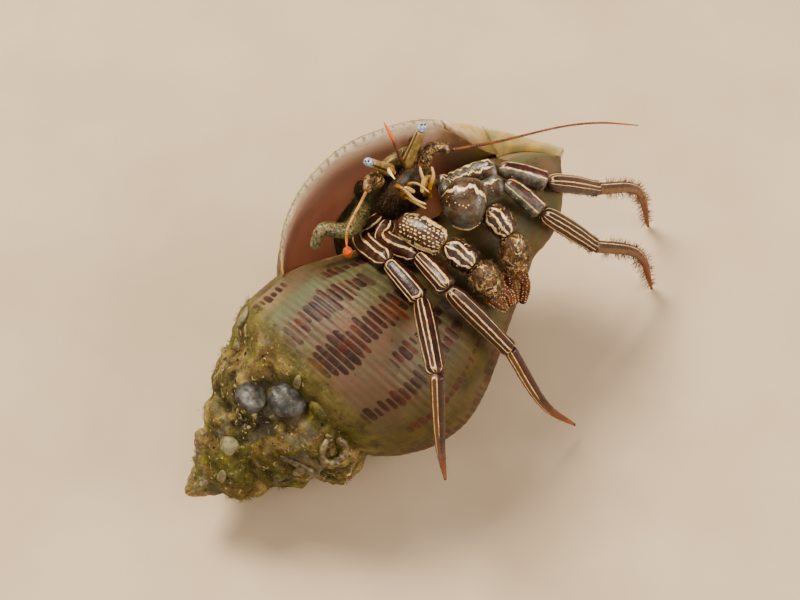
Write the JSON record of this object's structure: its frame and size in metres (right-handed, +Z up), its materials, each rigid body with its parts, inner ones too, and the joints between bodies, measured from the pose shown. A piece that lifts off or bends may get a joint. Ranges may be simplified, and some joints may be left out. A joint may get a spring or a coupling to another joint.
{
  "type": "hermit crab",
  "caption": "Striped hermit crab leaning out of a large, algae-crusted sea-snail shell, a still life-size natural history model.",
  "frame": {"origin": "on the floor under the middle of the model's bounding box", "axes": "+X along the shell from its apex to its canal end, +Y towards the shell's outer lip, +Z up"},
  "size_m": [0.089, 0.048, 0.0487],
  "materials": {
    "shell": "worn, with red-brown dashes on fine cords",
    "crust": "rough, overgrown with algae and chalky crusts",
    "lip": "smooth mauve-pink inside, cream crenulated rim",
    "canal": "smooth yellow to grey-green",
    "flesh": "soft, mottled green-brown with fuzz",
    "leg": "horny, dark brown with cream stripes",
    "claw": "horny, grey-brown with cream marbling and tubercles",
    "tip": "horny, orange to red-brown",
    "eye": "clear glossy, pale blue with dark spots",
    "stalk": "horny, yellow-tan",
    "feeler": "horny, orange-brown"
  },
  "bodies": {
    "root": {"abdomen_front": "flesh", "abdomen_rear": "flesh", "antenna_base_left": "leg", "antenna_base_right": "leg", "antenna_left": "feeler", "antenna_right": "feeler", "antennule_left": "feeler", "antennule_right": "feeler", "cheliped_left_carpus": "claw", "cheliped_left_finger": "tip", "cheliped_left_merus": "claw", "cheliped_left_palm": "claw", "cheliped_right_carpus": "claw", "cheliped_right_finger": "tip", "cheliped_right_merus": "claw", "cheliped_right_palm": "claw", "eye_left": "eye", "eye_right": "eye", "eyestalk_left": "stalk", "eyestalk_right": "stalk", "leg_left_2_carpus": "leg", "leg_left_2_dactyl": "tip", "leg_left_2_merus": "leg", "leg_left_2_propodus": "leg", "leg_left_3_carpus": "leg", "leg_left_3_dactyl": "tip", "leg_left_3_merus": "leg", "leg_left_3_propodus": "leg", "leg_left_4": "leg", "leg_left_5": "leg", "leg_right_2_carpus": "leg", "leg_right_2_dactyl": "tip", "leg_right_2_merus": "leg", "leg_right_2_propodus": "leg", "leg_right_3_carpus": "leg", "leg_right_3_dactyl": "tip", "leg_right_3_merus": "leg", "leg_right_3_propodus": "leg", "leg_right_4": "leg", "leg_right_5": "leg", "maxilliped_left": "stalk", "maxilliped_right": "stalk", "shell_body_whorl": "shell", "shell_canal": "canal", "shell_outer_lip": "lip", "shell_spire": "crust", "shield": "leg", "tail_fan": "flesh", "thorax": "flesh"}
  },
  "joints": []
}
